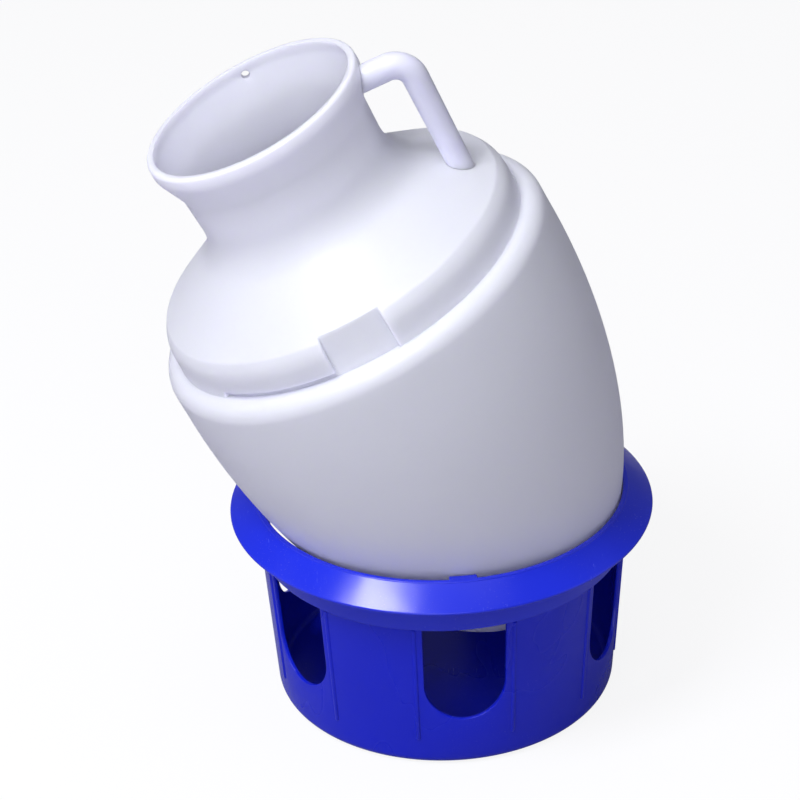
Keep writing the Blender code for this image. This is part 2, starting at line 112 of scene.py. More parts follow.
class Turning:
    """Profiles and the bmesh steps that several turned pieces share."""

    @staticmethod
    def rounded(corners: list[Triple], arc_step: float = 8.0 * DEGREE) -> list[Vector]:
        """Rounds the corners of a profile.

        Args:
            corners: radius, height and rounding of each corner.
            arc_step: largest turn between two points of a rounding.

        Returns:
            Points in the XZ plane, in the order of the corners.
        """
        places = [Vector((x, 0.0, z)) for x, z, _ in corners]
        tangents = [0.0] * len(corners)
        turns = [0.0] * len(corners)
        for index in range(1, len(corners) - 1):
            before = places[index - 1] - places[index]
            after = places[index + 1] - places[index]
            turns[index] = math.pi - before.angle(after)
            tangents[index] = corners[index][2] * math.tan(turns[index] / 2.0)
        for index in range(len(corners) - 1):
            room = CORNER_ROOM * (places[index + 1] - places[index]).length
            wanted = tangents[index] + tangents[index + 1]
            if wanted > room:
                tangents[index] *= room / wanted
                tangents[index + 1] *= room / wanted
        points: list[Vector] = []
        for index, corner in enumerate(places):
            if tangents[index] <= MERGE_DISTANCE:
                points.append(corner.copy())
                continue
            before = (places[index - 1] - corner).normalized()
            after = (places[index + 1] - corner).normalized()
            radius = tangents[index] / math.tan(turns[index] / 2.0)
            centre = corner + (before + after).normalized() * (radius / math.cos(turns[index] / 2.0))
            start = corner + before * tangents[index] - centre
            axis = start.cross(corner + after * tangents[index] - centre).normalized()
            pieces = max(2, math.ceil(turns[index] / arc_step))
            for step in range(pieces + 1):
                swing = turns[index] * step / pieces
                points.append(centre + Matrix.Rotation(swing, 3, axis) @ start)
        return points

    @staticmethod
    def crossing(points: list[Vector], value: Callable[[Vector], float]) -> tuple[list[Vector], float]:
        """Adds a point where a value first changes its sign along a profile.

        Args:
            points: profile in the XZ plane.
            value: the value at a point.

        Returns:
            The profile with the extra point, and that point's height.
        """
        for index in range(len(points) - 1):
            first, second = points[index], points[index + 1]
            before, after = value(first), value(second)
            if before * after < 0.0:
                made = first.lerp(second, before / (before - after))
                return points[: index + 1] + [made] + points[index + 1:], made.z
        raise ValueError("the value keeps its sign along the whole profile")

    @staticmethod
    def inward(points: list[Vector], wall: float) -> list[Vector]:
        """Moves a profile sideways by a wall's thickness, towards the axis.

        Args:
            points: outer profile that runs from the foot up to the lip.
            wall: thickness of the wall.

        Returns:
            The inner profile in the same order.
        """
        moved = []
        for index, point in enumerate(points):
            sides = []
            for first, second in ((index - 1, index), (index, index + 1)):
                if first < 0 or second >= len(points):
                    continue
                along = (points[second] - points[first]).normalized()
                sides.append(Vector((-along.z, 0.0, along.x)))
            middle = sum(sides, Vector()).normalized()
            moved.append(point + middle * (wall / max(LEAST_MITRE, middle.dot(sides[0]))))
        return moved

    @staticmethod
    def spun(profile: list[Vector], closed: bool = False) -> bmesh.types.BMesh:
        """Spins a profile about the Z axis.

        Args:
            profile: points in the XZ plane.
            closed: whether the last point joins the first.

        Returns:
            A bmesh of the turned surface with its poles closed.
        """
        mesh = bmesh.new()
        verts = [mesh.verts.new(point) for point in profile]
        edges = [mesh.edges.new(pair) for pair in zip(verts, verts[1:])]
        if closed:
            edges.append(mesh.edges.new((verts[-1], verts[0])))
        bmesh.ops.spin(
            mesh, geom=verts + edges, cent=(0.0, 0.0, 0.0), axis=(0.0, 0.0, 1.0),
            angle=FULL_TURN, steps=ROUND_STEPS, use_merge=True,
        )
        Turning.weld(mesh)
        return mesh

    @staticmethod
    def weld(mesh: bmesh.types.BMesh) -> None:
        """Merges vertices that stand on one spot."""
        bmesh.ops.remove_doubles(mesh, verts=mesh.verts, dist=MERGE_DISTANCE)
        bmesh.ops.dissolve_degenerate(mesh, edges=mesh.edges, dist=MERGE_DISTANCE)

    @staticmethod
    def join(whole: bmesh.types.BMesh, part: bmesh.types.BMesh, turns: list[float]) -> None:
        """Adds a part to a shape, once for each turn about Z.

        Args:
            whole: the shape.
            part: what is added, which is freed.
            turns: how far each copy is turned.
        """
        data = bpy.data.meshes.new("part")
        part.to_mesh(data)
        part.free()
        for turn in turns:
            turned = data.copy()
            turned.transform(Matrix.Rotation(turn, 4, "Z"))
            whole.from_mesh(turned)
            bpy.data.meshes.remove(turned)
        bpy.data.meshes.remove(data)

    @staticmethod
    def soften(
        mesh: bmesh.types.BMesh, edges: list[bmesh.types.BMEdge], width: float, segments: int = 3,
    ) -> None:
        """Rounds edges.

        Args:
            mesh: the shape.
            edges: the edges that are rounded.
            width: how far the rounding reaches from an edge.
            segments: steps across the rounding.
        """
        bmesh.ops.bevel(
            mesh, geom=edges, offset=width, offset_type="OFFSET", segments=segments,
            profile=0.5, affect="EDGES", clamp_overlap=True, material=-1,
        )

    @staticmethod
    def bend(
        mesh: bmesh.types.BMesh, half: float, columns: int, radius: float, turn: float,
        reach: Callable[[Vector], float],
    ) -> None:
        """Slices a flat shape across X and bends it round Z.

        Args:
            mesh: the flat shape, X along the wall and Y out of it.
            half: half of its width.
            columns: slices across the width.
            radius: radius at which its width keeps its length.
            turn: azimuth of its middle.
            reach: distance from Z of a flat point.
        """
        for column in range(1, columns):
            bmesh.ops.bisect_plane(
                mesh, geom=mesh.verts[:] + mesh.edges[:] + mesh.faces[:], dist=SLICE_DISTANCE,
                plane_co=(half * (2.0 * column / columns - 1.0), 0.0, 0.0), plane_no=(1.0, 0.0, 0.0),
            )
        for vert in mesh.verts:
            swing = vert.co.x / radius + turn
            away = reach(vert.co)
            vert.co = Vector((away * math.sin(swing), -away * math.cos(swing), vert.co.z))

    @staticmethod
    def sink(mesh: bmesh.types.BMesh, faces: list[bmesh.types.BMFace], floor: Callable[[float], float]) -> None:
        """Presses a patch of a turned wall in to a smaller radius, with side walls round it.

        Args:
            mesh: the turned surface about Z.
            faces: faces of the patch.
            floor: radius of the sunk floor at a height.
        """
        made = bmesh.ops.extrude_face_region(mesh, geom=faces)
        for item in made["geom"]:
            if isinstance(item, bmesh.types.BMVert):
                reach = math.hypot(item.co.x, item.co.y)
                radius = floor(item.co.z)
                if reach > radius:
                    item.co.x *= radius / reach
                    item.co.y *= radius / reach
        left = [face for face in faces if face.is_valid]
        if left:
            bmesh.ops.delete(mesh, geom=left, context="FACES")

    @staticmethod
    def plain(name: str, mesh: bmesh.types.BMesh) -> bpy.types.Object:
        """Makes an object of a bmesh, which is freed."""
        data = bpy.data.meshes.new(name)
        mesh.to_mesh(data)
        mesh.free()
        return linked(name, data)

    @staticmethod
    def finished(node: NodeName, mesh: bmesh.types.BMesh, place: Matrix) -> bpy.types.Object:
        """Turns a bmesh into a smooth-shaded object at the origin.

        Args:
            node: the CAD node that it stands for.
            mesh: the shape, which is freed.
            place: transform that is applied to the mesh.

        Returns:
            The new object, linked to the scene.
        """
        bmesh.ops.transform(mesh, matrix=place, verts=mesh.verts)
        bmesh.ops.recalc_face_normals(mesh, faces=mesh.faces)
        piece = Turning.plain(node.value + "_visual", mesh)
        piece.data.shade_smooth()
        piece.data.set_sharp_from_angle(angle=CRISP_TURN)
        return piece


def azimuth(point: Vector) -> float:
    """Turn of a point about Z from the front (-Y) towards +X, from -180 to 180 degrees."""
    return math.atan2(point.x, -point.y)


def turned_between(point: Vector, start: float, end: float) -> bool:
    """Whether a point's azimuth lies between two turns, the first one smaller."""
    middle = (start + end) / 2.0
    away = (azimuth(point) - middle + math.pi) % FULL_TURN - math.pi
    return abs(away) < (end - start) / 2.0


# Finishes


class NodeSheet:
    """Lays out shader nodes in a tree."""

    def __init__(self, tree: bpy.types.NodeTree) -> None:
        """Takes the node tree."""
        self.tree = tree

    def node(
        self, kind: str, inputs: dict[int | str, object] | None = None, **settings: object,
    ) -> bpy.types.Node:
        """Adds a node.

        Args:
            kind: the node's type name.
            inputs: what its inputs take.
            settings: its own properties.

        Returns:
            The node.
        """
        made = self.tree.nodes.new(kind)
        for name, value in settings.items():
            setattr(made, name, value)
        self.feed(made, inputs or {})
        return made

    def feed(self, node: bpy.types.Node, inputs: dict[int | str, object]) -> None:
        """Sets or wires a node's inputs.

        Args:
            node: the node.
            inputs: what its inputs take, each a value or another node's output.
        """
        for key, value in inputs.items():
            if isinstance(value, bpy.types.NodeSocket):
                self.tree.links.new(value, node.inputs[key])
            else:
                node.inputs[key].default_value = value

    def place(self) -> bpy.types.NodeSocket:
        """A point's place in the piece."""
        return self.node("ShaderNodeTexCoord").outputs["Object"]

    def noise(self, place: bpy.types.NodeSocket, scale: object, **more: float) -> bpy.types.NodeSocket:
        """Cloudy values from 0 to 1 at a place."""
        inputs = {key.capitalize(): value for key, value in more.items()}
        return self.node("ShaderNodeTexNoise", {"Vector": place, "Scale": scale, **inputs}).outputs["Fac"]

    def group(self, tree: bpy.types.NodeTree, **inputs: float) -> bpy.types.NodeSocket:
        """Places a group with its own values and gives its result."""
        values = {key.replace("_", " ").title(): value for key, value in inputs.items()}
        return self.node("ShaderNodeGroup", values, node_tree=tree).outputs[0]

    def math(self, operation: str, first: object, second: object, clamp: bool = False) -> bpy.types.NodeSocket:
        """Result of a maths operation on two values, each a number or an output."""
        made = self.node("ShaderNodeMath", {0: first, 1: second}, operation=operation, use_clamp=clamp)
        return made.outputs[0]

    def spread(
        self, value: object, low: float, high: float, to_low: float = 0.0, to_high: float = 1.0,
    ) -> bpy.types.NodeSocket:
        """A value's range from low to high mapped to another range, clamped."""
        ranges = {"From Min": low, "From Max": high, "To Min": to_low, "To Max": to_high}
        return self.node("ShaderNodeMapRange", {"Value": value, **ranges}).outputs["Result"]

    def blend(self, share: bpy.types.NodeSocket, first: object, second: object) -> bpy.types.NodeSocket:
        """Mix of two colours, with the second one's share."""
        return self.node("ShaderNodeMix", {0: share, 6: first, 7: second}, data_type="RGBA").outputs[2]


class SurfaceEffects:
    """Node groups for effects that both plastics show."""

    def __init__(self) -> None:
        """Builds each group once."""
        self.waviness = self._waviness()
        self.scuffs = self._scuffs()
        self.dust = self._dust()

    @staticmethod
    def _group(
        name: str, inputs: dict[str, float], output: str,
    ) -> tuple[NodeSheet, bpy.types.NodeOutputs, bpy.types.Node]:
        """Makes an empty group.

        Args:
            name: the group's name.
            inputs: its number inputs with their defaults.
            output: its number output.

        Returns:
            Its sheet, the values given to it and its output node.
        """
        tree = bpy.data.node_groups.new(name, "ShaderNodeTree")
        for key, value in inputs.items():
            socket = tree.interface.new_socket(key, in_out="INPUT", socket_type="NodeSocketFloat")
            socket.default_value = value
        tree.interface.new_socket(output, in_out="OUTPUT", socket_type="NodeSocketFloat")
        return NodeSheet(tree), tree.nodes.new("NodeGroupInput").outputs, tree.nodes.new("NodeGroupOutput")

    def _waviness(self) -> bpy.types.NodeTree:
        """Slow dents of a moulded wall with a fine skin on them.

        Returns:
            The group, which puts out a height.
        """
        inputs = {"Wave Scale": 14.0, "Skin Scale": 900.0, "Skin Share": 0.1}
        sheet, given, out = self._group("moulded_waviness", inputs, "Height")
        place = sheet.place()
        wave = sheet.noise(place, given["Wave Scale"], detail=2.0)
        skin = sheet.noise(place, given["Skin Scale"], detail=3.0)
        sheet.feed(out, {"Height": sheet.math("ADD", wave, sheet.math("MULTIPLY", skin, given["Skin Share"]))})
        return sheet.tree

    def _scuffs(self) -> bpy.types.NodeTree:
        """Thin scuffs that run in a few slanting bundles.

        Returns:
            The group, which puts out a mask.
        """
        sheet, given, out = self._group("handling_scuffs", {"Scale": 90.0, "Amount": 0.5}, "Mask")
        place = sheet.place()
        slant = {"Vector": place, "Rotation": (0.5, 0.3, 0.8), "Scale": (1.0, 0.06, 0.35)}
        slanting = sheet.node("ShaderNodeMapping", slant).outputs["Vector"]
        lines = sheet.noise(slanting, sheet.math("MULTIPLY", given["Scale"], 12.0), detail=6.0, roughness=0.7)
        thin = sheet.spread(lines, 0.60, 0.72)
        patches = sheet.spread(sheet.noise(place, 22.0), 0.50, 0.68)
        mask = sheet.math("MULTIPLY", sheet.math("MULTIPLY", thin, patches), given["Amount"], clamp=True)
        sheet.feed(out, {"Mask": mask})
        return sheet.tree

    def _dust(self) -> bpy.types.NodeTree:
        """Fine specks of dust, more of them on surfaces that face up.

        Returns:
            The group, which puts out a mask.
        """
        sheet, given, out = self._group("settled_dust", {"Scale": 700.0, "Amount": 0.5}, "Mask")
        place = sheet.place()
        specks = sheet.node("ShaderNodeTexVoronoi", {"Vector": place, "Scale": given["Scale"]})
        dots = sheet.spread(specks.outputs["Distance"], 0.05, 0.16, 1.0, 0.0)
        patches = sheet.spread(sheet.noise(place, 35.0, detail=4.0), 0.45, 0.70)
        normal = sheet.node("ShaderNodeNewGeometry").outputs["Normal"]
        height = sheet.node("ShaderNodeSeparateXYZ", {"Vector": normal}).outputs["Z"]
        lying = sheet.math("MULTIPLY", sheet.spread(height, -0.2, 0.9, 0.25), given["Amount"])
        mask = sheet.math("MULTIPLY", sheet.math("MULTIPLY", dots, patches), lying, clamp=True)
        sheet.feed(out, {"Mask": mask})
        return sheet.tree


@dataclass(frozen=True)
class PlasticFinish:
    """A moulded plastic: its colours, gloss and surface."""

    name: str
    colour: Colour
    deep_colour: Colour
    scuff_colour: Colour
    roughness: float
    wave_scale: float
    wave_depth: float
    scuff_amount: float
    dust_amount: float
    specular: float = 0.5
    subsurface: float = 0.0
    roughness_swing: float = 0.05
    skin_share: float = 0.02
    flow_scale: float = 9.0
    scuff_roughness: float = 0.25
    dust_colour: Colour = (0.62, 0.60, 0.56, 1.0)
    subsurface_reach: Triple = (1.0, 0.95, 1.1)
    subsurface_scale: float = 0.008

    def material(self, effects: SurfaceEffects) -> bpy.types.Material:
        """Builds the material.

        Args:
            effects: the shared node groups.

        Returns:
            The finished material.
        """
        made = bpy.data.materials.new(self.name)
        made.use_nodes = True
        sheet = NodeSheet(made.node_tree)
        flow = sheet.noise(sheet.place(), self.flow_scale, detail=3.0, distortion=0.6)
        scuffs = sheet.group(effects.scuffs, amount=self.scuff_amount)
        dust = sheet.group(effects.dust, amount=self.dust_amount)
        waves = sheet.group(effects.waviness, wave_scale=self.wave_scale, skin_share=self.skin_share)
        base = sheet.blend(sheet.spread(flow, 0.35, 0.65), self.colour, self.deep_colour)
        worn = sheet.blend(scuffs, base, self.scuff_colour)
        low, high = self.roughness - self.roughness_swing, self.roughness + self.roughness_swing
        rubbed = sheet.math("MULTIPLY", scuffs, self.scuff_roughness)
        bump = sheet.node("ShaderNodeBump", {"Strength": 1.0, "Distance": self.wave_depth, "Height": waves})
        sheet.feed(made.node_tree.nodes["Principled BSDF"], {
            "Base Color": sheet.blend(dust, worn, self.dust_colour),
            "Metallic": 0.0,
            "Roughness": sheet.math("ADD", sheet.spread(flow, 0.3, 0.7, low, high), rubbed, clamp=True),
            "Specular IOR Level": self.specular,
            "Subsurface Weight": self.subsurface,
            "Subsurface Radius": self.subsurface_reach,
            "Subsurface Scale": self.subsurface_scale,
            "Normal": bump.outputs["Normal"],
        })
        return made


# The drum is the same blue plastic as the collar. Its darker blue is painted shade for the wall that hangs
# under the rain skirt.
BLUE_DRUM_PAINTED_SHADE = PlasticFinish(
    name="blue_plastic_with_painted_shade",
    colour=(0.004, 0.014, 0.540, 1.0),
    deep_colour=(0.004, 0.012, 0.495, 1.0),
    scuff_colour=(0.03, 0.06, 0.60, 1.0),
    roughness=0.28,
    wave_scale=30.0,
    wave_depth=0.0004,
    scuff_amount=0.1,
    dust_amount=0.25,
    specular=0.36,
)
BLUE_COLLAR = PlasticFinish(
    name="blue_collar_plastic",
    colour=(0.010, 0.026, 0.620, 1.0),
    deep_colour=(0.008, 0.022, 0.570, 1.0),
    scuff_colour=(0.06, 0.10, 0.68, 1.0),
    roughness=0.22,
    wave_scale=24.0,
    wave_depth=0.0005,
    scuff_amount=0.6,
    dust_amount=0.25,
)
MILK_JUG = PlasticFinish(
    name="milky_blown_plastic",
    colour=(0.848, 0.850, 0.980, 1.0),
    deep_colour=(0.830, 0.830, 0.965, 1.0),
    scuff_colour=(0.73, 0.72, 0.82, 1.0),
    roughness=0.46,
    roughness_swing=0.04,
    wave_scale=16.0,
    wave_depth=0.0006,
    scuff_amount=0.25,
    dust_amount=0.20,
    subsurface=1.0,
)
# The handle is the same milky plastic as the shell. Its darker, greyer colour is painted shade on the bar.
MILK_HANDLE_PAINTED_SHADE = replace(
    MILK_JUG,
    name="milky_plastic_with_painted_shade",
    colour=(0.725, 0.730, 0.795, 1.0),
    deep_colour=(0.705, 0.708, 0.775, 1.0),
    scuff_colour=(0.64, 0.63, 0.70, 1.0),
    roughness=0.42,
    wave_scale=28.0,
    wave_depth=0.0005,
    scuff_amount=0.30,
    dust_amount=0.12,
)


# The drinking base


@dataclass
class DrinkingDrum:
    """Trough floor and tapering wall with U-shaped windows and thin ribs."""

    foot_radius: float = 0.0830
    top_radius: float = 0.0883
    height: float = 0.0792
    wall: float = 0.0020
    floor: float = 0.0026
    foot_round: float = 0.0050
    panel_foot: float = 0.0085
    window_count: int = 6
    window_width: float = 0.0386
    window_sill: float = 0.0270
    window_steps: int = 28
    front_turn: float = 5.0 * DEGREE
    edge_bevel: float = 0.0004
    rib_width: float = 0.0032
    rib_crest: float = 0.0014
    rib_height: float = 0.0007
    rib_round: float = 0.00042
    rib_offset: float = 0.0042
    rib_foot: float = 0.0150
    # darker blue than the collar: painted shade under the skirt
    finish: PlasticFinish = BLUE_DRUM_PAINTED_SHADE

    def radius(self, height: float) -> float:
        """Outer radius of the wall at a height."""
        return self.foot_radius + (self.top_radius - self.foot_radius) * height / self.height

    def _window_turns(self) -> list[float]:
        """Azimuths of the windows."""
        return [self.front_turn + FULL_TURN * index / self.window_count for index in range(self.window_count)]

    def _flat_panel(self) -> bmesh.types.BMesh:
        """One sector of the wall laid flat: X along the wall, Y out of it, Z up.

        Returns:
            A bmesh of the panel, its window's edges bevelled.
        """
        middle_radius = self.radius(self.height / 2.0)
        half = math.pi / self.window_count * middle_radius
        window = self.window_width / 2.0
        centre = self.window_sill + window
        swings = [math.pi * step / self.window_steps for step in range(self.window_steps + 1)]
        outline = [
            (-half, self.panel_foot), (half, self.panel_foot), (half, self.height), (window, self.height),
            *((window * math.cos(swing), centre - window * math.sin(swing)) for swing in swings),
            (-window, self.height), (-half, self.height),
        ]
        mesh = bmesh.new()
        face = mesh.faces.new([mesh.verts.new((x, 0.0, z)) for x, z in outline])
        made = bmesh.ops.extrude_face_region(mesh, geom=[face])
        back = [item for item in made["geom"] if isinstance(item, bmesh.types.BMVert)]
        bmesh.ops.translate(mesh, vec=(0.0, self.wall, 0.0), verts=back)
        bmesh.ops.recalc_face_normals(mesh, faces=mesh.faces)
        rim = [
            edge for edge in mesh.edges
            if all(abs(vert.co.x) < window + MERGE_DISTANCE for vert in edge.verts)
            and all(vert.co.z > self.window_sill - MERGE_DISTANCE for vert in edge.verts)
            and abs(edge.verts[0].co.y - edge.verts[1].co.y) < MERGE_DISTANCE
            and not all(vert.co.z > self.height - MERGE_DISTANCE for vert in edge.verts)
        ]
        Turning.soften(mesh, rim, self.edge_bevel)
        hidden = [
            face for face in mesh.faces
            if all(abs(abs(vert.co.x) - half) < MERGE_DISTANCE for vert in face.verts)
            or all(abs(vert.co.z - self.panel_foot) < MERGE_DISTANCE for vert in face.verts)
        ]
        bmesh.ops.delete(mesh, geom=hidden, context="FACES")
        columns = round(FULL_TURN / self.window_count / DEGREE)
        Turning.bend(mesh, half, columns, middle_radius, 0.0, lambda flat: self.radius(flat.z) - flat.y)
        return mesh

    def build(self) -> bpy.types.Object:
        """Builds the drum.

        Returns:
            The drum's object.
        """
        floor_inner = self.radius(self.floor) - self.wall
        profile = Turning.rounded([
            (0.0, 0.0, 0.0),
            (self.foot_radius, 0.0, self.foot_round),
            (self.radius(self.panel_foot), self.panel_foot, 0.0),
        ])
        inner = Turning.rounded([
            (self.radius(self.panel_foot) - self.wall, self.panel_foot, 0.0),
            (floor_inner, self.floor, self.foot_round - self.wall),
            (0.0, self.floor, 0.0),
        ])
        whole = bmesh.new()
        for turned in (profile, inner):
            Turning.join(whole, Turning.spun(turned), [self.front_turn])
        Turning.join(whole, self._flat_panel(), self._window_turns())
        bmesh.ops.remove_doubles(whole, verts=whole.verts, dist=SEAM_DISTANCE)
        self._add_ribs(whole)
        piece = Turning.finished(NodeName.DRUM, whole, Matrix.Identity(4))
        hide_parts(NodeName.DRUM.value)
        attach(piece, BodyName.BASE.value)
        return piece

    def _add_ribs(self, mesh: bmesh.types.BMesh) -> None:
        """Adds a thin rounded rib at each side of each window.

        Args:
            mesh: the drum's bmesh.
        """
        side_turn = math.asin((self.window_width / 2.0 + self.rib_offset) / self.top_radius)
        taper = math.atan2(self.top_radius - self.foot_radius, self.height)
        middle = (self.rib_foot + self.height) / 2.0
        depth = self.wall / 2.0 + self.rib_height
        length = (self.height - self.rib_foot) / math.cos(taper)
        upright = (
            Matrix.Translation((0.0, -self.radius(middle) - self.rib_height + depth / 2.0, middle))
            @ Matrix.Rotation(taper, 4, "X")
            @ Matrix.Diagonal((self.rib_width, depth, length, 1.0))
        )
        for window_turn in self._window_turns():
            for side in (-1.0, 1.0):
                place = Matrix.Rotation(window_turn + side * side_turn, 4, "Z") @ upright
                corners = bmesh.ops.create_cube(mesh, size=1.0)["verts"]
                for corner in corners:
                    if corner.co.y < 0.0:
                        corner.co.x *= self.rib_crest / self.rib_width
                bmesh.ops.transform(mesh, matrix=place, verts=corners)
                edges = list({edge for vert in corners for edge in vert.link_edges})
                Turning.soften(mesh, edges, self.rib_round, 4)


@dataclass
class CollarRing:
    """Ring above the windows with its rim, rain skirt and two bayonet lugs."""

    foot: float = 0.0795
    top: float = 0.1069
    bore_radius: float = 0.0877
    foot_radius: float = 0.0891
    wall: float = 0.0027
    skirt_radius: float = 0.1023
    skirt_drop: float = 0.0096
    skirt_thickness: float = 0.0020
    skirt_edge_round: float = 0.0010
    root_round: float = 0.0020
    rim_rise: float = 0.0006
    rim_round: float = 0.0008
    bore_edge_round: float = 0.0009
    foot_edge_round: float = 0.0007
    foot_lining_round: float = 0.0005
    lug_count: int = 2
    lug_turn: float = 5.0 * DEGREE
    lug_width: float = 0.0130
    lug_reach: float = 0.0028
    lug_height: float = 0.0024
    lug_rise: float = -0.0001
    lug_setback: float = 0.0004
    lug_round: float = 0.0005
    lug_columns: int = 10
    finish: PlasticFinish = BLUE_COLLAR

    def build(self) -> bpy.types.Object:
        """Builds the ring and its lugs.

        Returns:
            The collar's object.
        """
        rim_radius = self.bore_radius + self.wall
        slope = math.atan2(self.skirt_drop - self.rim_rise, self.skirt_radius - rim_radius)
        under = self.skirt_thickness / math.cos(slope)
        edge = Vector((math.sin(slope), 0.0, math.cos(slope))) * self.skirt_thickness
        profile = Turning.rounded([
            (self.foot_radius - self.wall, (self.foot + self.top) / 2.0, 0.0),
            (self.bore_radius, self.top, self.bore_edge_round),
            (rim_radius, self.top, self.rim_round),
            (rim_radius, self.top - self.rim_rise, 0.0),
            (self.skirt_radius, self.top - self.skirt_drop, self.skirt_edge_round),
            (self.skirt_radius - edge.x, self.top - self.skirt_drop - edge.z, self.skirt_edge_round),
            (rim_radius, self.top - self.rim_rise - under, self.root_round),
            (self.foot_radius, self.foot, self.foot_edge_round),
            (self.foot_radius - self.wall, self.foot, self.foot_lining_round),
            (self.foot_radius - self.wall, (self.foot + self.top) / 2.0, 0.0),
        ])
        mesh = Turning.spun(profile[:-1], closed=True)
        for index in range(self.lug_count):
            self._add_lug(mesh, self.lug_turn + FULL_TURN * index / self.lug_count)
        piece = Turning.finished(NodeName.COLLAR, mesh, Matrix.Identity(4))
        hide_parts(NodeName.COLLAR.value)
        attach(piece, BodyName.BASE.value)
        return piece

    def _add_lug(self, mesh: bmesh.types.BMesh, turn: float) -> None:
        """Adds one lug: a short rounded block bent along the rim.

        Args:
            mesh: the collar's bmesh.
            turn: the lug's azimuth.
        """
        outer = self.bore_radius + self.wall - self.lug_setback
        inner = self.bore_radius - self.lug_reach
        top = self.top + self.lug_rise
        place = Matrix.Translation((0.0, -(outer + inner) / 2.0, top - self.lug_height / 2.0))
        size = Matrix.Diagonal((self.lug_width, outer - inner, self.lug_height, 1.0))
        block = bmesh.new()
        bmesh.ops.create_cube(block, size=1.0, matrix=place @ size)
        Turning.soften(block, block.edges[:], self.lug_round)
        half = self.lug_width / 2.0
        Turning.bend(block, half, self.lug_columns, self.bore_radius, turn, lambda flat: -flat.y)
        Turning.join(mesh, block, [0.0])


# The jug


@dataclass
class JugStance:
    """Where the jug's foot stands and how it leans."""

    foot: Triple = (0.041820, 0.003637, 0.047984)
    lean_front: float = 4.5 * DEGREE
    lean_left: float = 24.73 * DEGREE

    def matrix(self) -> Matrix:
        """Transform from the jug's own frame, foot at 0 and mouth up, to the part's frame."""
        turn = Euler((self.lean_front, -self.lean_left, 0.0), "YXZ").to_matrix().to_4x4()
        return Matrix.Translation(self.foot) @ turn


